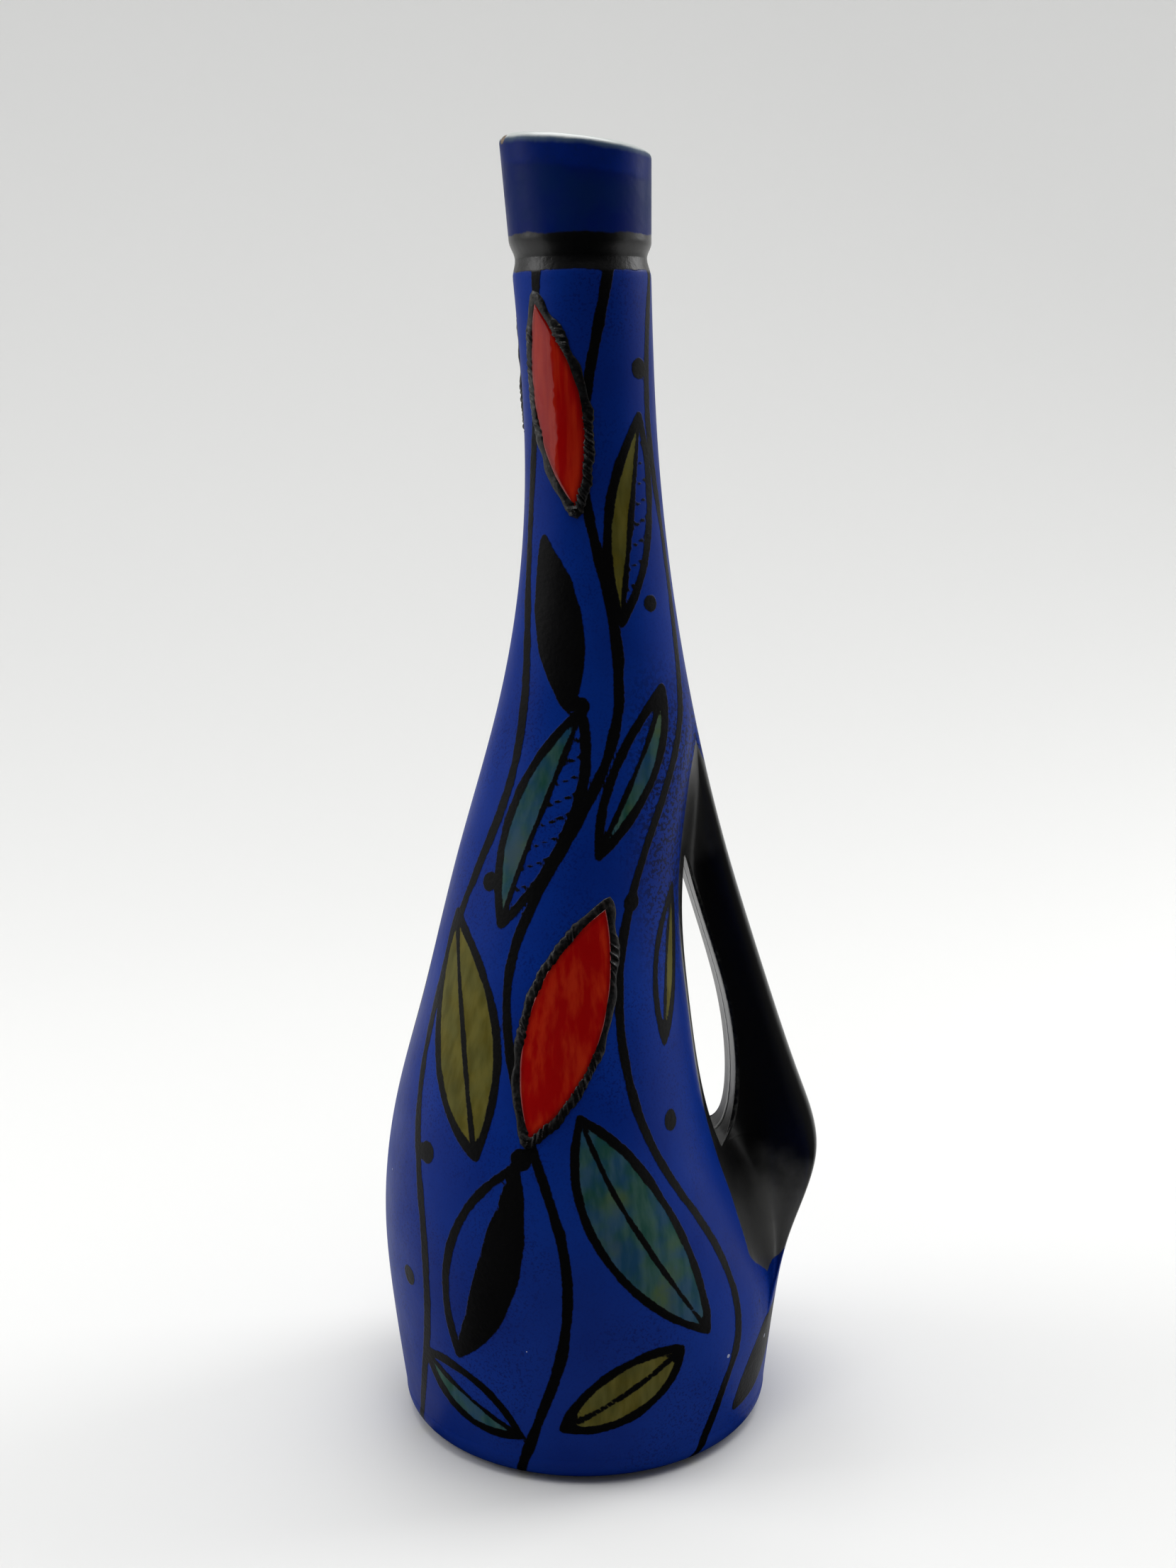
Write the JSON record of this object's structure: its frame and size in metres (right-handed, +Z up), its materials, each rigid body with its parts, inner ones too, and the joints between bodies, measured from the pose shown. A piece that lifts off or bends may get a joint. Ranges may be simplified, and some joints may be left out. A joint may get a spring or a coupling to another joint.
{
  "type": "jug",
  "caption": "Bottle-shaped glazed earthenware jug with a long neck, a small pouring lip and a strap handle pierced by a slot.",
  "frame": {"origin": "centre of the flat underside of the foot", "axes": "+Z up along the jug, +X towards the handle, -X towards the pouring lip"},
  "size_m": [0.1068, 0.0958, 0.3024],
  "materials": {
    "cobalt_glaze": "satin",
    "navy_glaze": "satin",
    "black_glaze": "gloss"
  },
  "bodies": {
    "root": {"foot": "cobalt_glaze", "belly": "cobalt_glaze", "shoulder": "cobalt_glaze", "neck": "cobalt_glaze", "lip": "navy_glaze", "handle": "black_glaze"}
  },
  "joints": []
}
